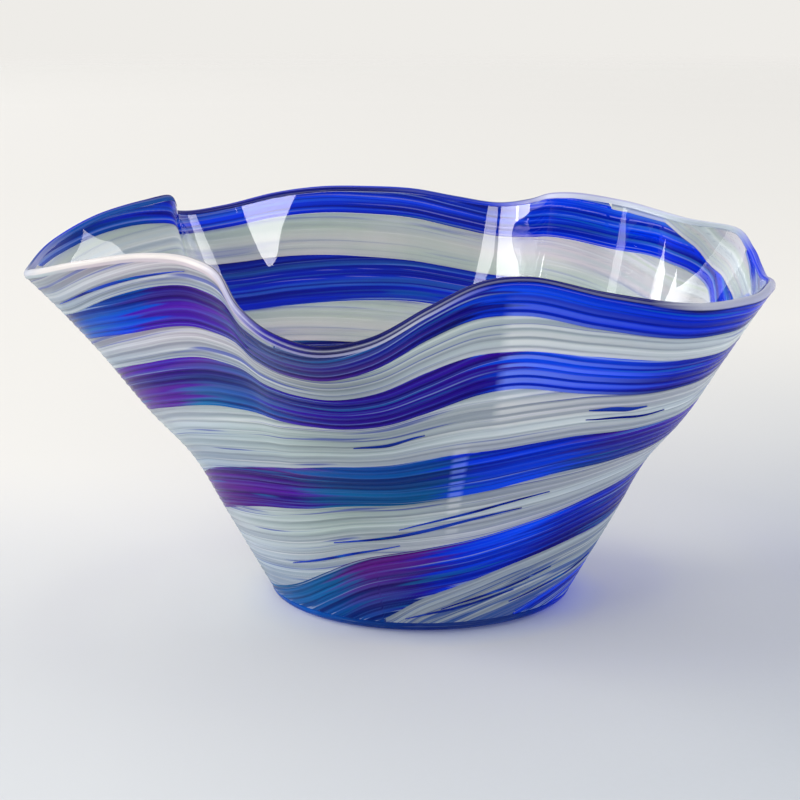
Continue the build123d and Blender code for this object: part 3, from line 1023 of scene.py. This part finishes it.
def gather():
    """The clear inner layer: the floor, its rounded corner, the inner face up to the lip, the outer face back
    down to the heel, and the underside."""
    heel = wall(0.0, 0.0, WALL)
    turn_up = wall(0.0, FLUTE_START, WALL)
    climb = (FLOOR_TOP - heel[1]) / (turn_up[1] - heel[1])
    corner_r = heel[0] + climb * (turn_up[0] - heel[0])
    shape = []
    for r in np.linspace(0, corner_r - FLOOR_ROUND, 12):
        shape.append(spin(AROUND, np.broadcast_to(np.array([r, FLOOR_TOP]), AROUND.shape + (2,))))
    p0 = np.array([corner_r - FLOOR_ROUND, FLOOR_TOP])
    p1 = np.array([corner_r, FLOOR_TOP])
    p2 = p1 + (turn_up - p1) / np.linalg.norm(turn_up - p1) * FLOOR_ROUND
    for t in np.linspace(0, 1, 14)[1:]:
        at = (1 - t) ** 2 * p0 + 2 * t * (1 - t) * p1 + t * t * p2
        shape.append(spin(AROUND, np.broadcast_to(at, AROUND.shape + (2,))))
    start = float((p2[1] - heel[1]) / (turn_up[1] - heel[1]) * FLUTE_START)
    under_lip = LIP_SHARE - 0.001
    for share in np.linspace(start, under_lip, 110)[1:]:
        shape.append(spin(AROUND, wall(AROUND, share, WALL)))
    inner = len(shape)
    for share in np.linspace(under_lip, 0.0, 60):
        shape.append(spin(AROUND, wall(AROUND, share, SKIN + SEAM)))
    base = heel[1] + SEAM
    for r in np.linspace(heel[0], 0, 8):
        shape.append(spin(AROUND, np.broadcast_to(np.array([r, base]), AROUND.shape + (2,))))
    points = np.concatenate(shape, axis=1)
    piece = new_piece("clear_gather", points, ring=True, hidden=np.arange(len(shape)) >= inner)
    worn = np.interp(AROUND, *zip(*WORN))
    high = np.clip((np.hypot(points[..., :1], points[..., 1:2]) - WORN_R) / WORN_BLEND, 0, 1)
    add_vectors(piece, "polish", np.broadcast_to(1 - worn[..., None] * high, points.shape))
    close_up(piece)
    return piece


def lip():
    """The fire-polished rim: a half round over the top of the wall."""
    arc = np.linspace(0, pi, 33)
    middle = wall(AROUND, LIP_SHARE, WALL / 2)
    crown = wall(AROUND, 1.0, WALL / 2)
    outer = wall(AROUND, LIP_SHARE, -LIP_PROUD)
    across = outer - middle
    up = crown - middle
    loop = middle + np.cos(arc)[None, :, None] * across + np.sin(arc)[None, :, None] * up
    piece = new_piece("polished_lip", spin(AROUND, loop), ring=True)
    sides = [tint_at(LIP_TINTS, side, AROUND) for side in (1, 2, 3)]
    over = np.clip((arc - LIP_OUTER * pi) / LIP_BLEND, 0, 1)[None, :, None]
    under = np.clip((arc - LIP_INNER * pi) / LIP_BLEND, 0, 1)[None, :, None]
    tint = sides[0] * (1 - over) + sides[1] * (over - under) + sides[2] * under
    rim_turn = AROUND[..., None]
    # Painted shade and painted highlight lines along the lip.
    for line, rows in ((INK, LIP_SHADE_LINE), (PEARL, LIP_HIGHLIGHT_LINE)):
        angles, places, strengths = zip(*rows)
        off = (arc[None, :, None] - np.interp(rim_turn, angles, places) * pi) / LIP_LINE
        mixed = np.interp(rim_turn, angles, strengths) * np.exp(-off * off)
        tint = tint + (np.array(colour(line)[:3]) - tint) * mixed
    add_vectors(piece, "tint", tint)
    add_vectors(piece, "flow", np.stack(np.broadcast_arrays(AROUND * 2, arc[None] * 2, FAR_FROM_HEM), -1))
    close_up(piece)
    return piece


def lathe(name, outline):
    """A turned piece from its outline of (radius, height) pairs."""
    loop = np.broadcast_to(np.array(outline), (len(AROUND), len(outline), 2))
    piece = new_piece(name, spin(AROUND, loop), ring=True, sharp=35)
    level = loop[..., 0] + loop[..., 1] * 3
    add_vectors(piece, "flow", np.stack(np.broadcast_arrays(AROUND, level, 0.0), -1))
    tint = tint_at(FOOT_TINTS, 1, AROUND)
    middle = np.array(colour(FOOT_MIDDLE)[:3])
    outwards = np.clip((loop[..., :1] - FOOT_MIDDLE_R) / FOOT_BLEND, 0, 1)
    add_vectors(piece, "tint", middle + (tint - middle) * outwards)
    close_up(piece)
    return piece


def foot():
    """The foot pad, with its rounded heel, resting ring and hollow."""
    heel_out = wall(0.0, 0.0, 0.0)
    heel_in = wall(0.0, 0.0, WALL)
    run = heel_out[0] - FOOT_FLAT
    heel = [(FOOT_FLAT + run * np.sin(a), heel_out[1] * (1 - np.cos(a))) for a in np.linspace(0, pi / 2, 13)]
    pocket = HOLLOW_DEPTH + PONTIL_DEPTH + SEAM
    outline = [(0, heel_in[1]), (0, pocket), (PONTIL_R + SEAM, pocket), (PONTIL_R + SEAM, HOLLOW_DEPTH)]
    outline += [(HOLLOW_R - 3, HOLLOW_DEPTH), (HOLLOW_R - 1, 0.4), (HOLLOW_R + 0.5, 0), *heel, tuple(heel_in)]
    outline += [(FOOT_MIDDLE_R + FOOT_BLEND, heel_in[1]), (FOOT_MIDDLE_R, heel_in[1])]
    return lathe("foot_disc", outline)


def pontil():
    """The polished disc of the pontil scar, slightly dished."""
    top = HOLLOW_DEPTH + PONTIL_DEPTH
    outline = [(0, top), (0, HOLLOW_DEPTH + 0.3), (9, HOLLOW_DEPTH + 0.22), (12.5, HOLLOW_DEPTH + 0.1)]
    outline += [(PONTIL_R - 0.4, HOLLOW_DEPTH), (PONTIL_R, HOLLOW_DEPTH + 0.3), (PONTIL_R, top)]
    return lathe("pontil_mark", outline)


def threads():
    """All the stray cobalt threads, as one piece of separate strands."""
    strands = []
    for start, end, share_start, share_end, width in THREADS:
        t = np.linspace(0, 1, int(end - start) * 2 + 1)[:, None]
        angle = start + (end - start) * t
        half = (0.15 + 0.85 * np.sin(pi * t)) * width / 2
        wander = 0.0015 * np.sin(t * 9 + start)
        middle = share_start + (share_end - share_start) * t + wander
        around = np.linspace(0, 2 * pi, 9)[:-1][None]
        share = middle + half * np.cos(around) / WALL_LENGTH
        depth = -0.3 - 0.25 * np.sin(around)
        points = spin(angle, wall(angle, share, depth))
        strand = new_piece("strand", points, ring=False)
        tint = np.broadcast_to(colour((35, 75, 190))[:3], points.shape)
        add_vectors(strand, "tint", tint)
        flow = angle * 1.9, share * WALL_LENGTH, FAR_FROM_HEM
        add_vectors(strand, "flow", np.stack(np.broadcast_arrays(*flow), -1))
        add_vectors(strand, "ridge", np.zeros(points.shape))
        strands.append(strand)
    shape = bmesh.new()
    for strand in strands:
        shape.from_mesh(strand.data)
    whole = bpy.data.meshes.new("cobalt_strands")
    shape.to_mesh(whole)
    shape.free()
    whole["sharp"] = 50
    piece = bpy.data.objects.new("cobalt_strands", whole)
    bpy.context.scene.collection.objects.link(piece)
    for strand in strands:
        bpy.data.objects.remove(strand)
    close_up(piece)
    return piece


clear = [
    clear_glass("gather_inside", (240, 246, 244), worn=True),
    clear_glass("gather_back", (250, 252, 252), polished=False),
]
place(gather(), "inner_gather", clear)
place(lip(), "lip_bead", [stripe_glass("lip_clear", lip_paint, True, 0.3, 0.25, 0.7)])
place(foot(), "foot_pad", [stripe_glass("foot_tinted", foot_paint, True, 0.4, 0.2, 0.6)])
place(pontil(), "pontil_seal", [clear_glass("pontil_clear", (215, 225, 240))])
place(threads(), "stray_cobalt_threads", cobalt)
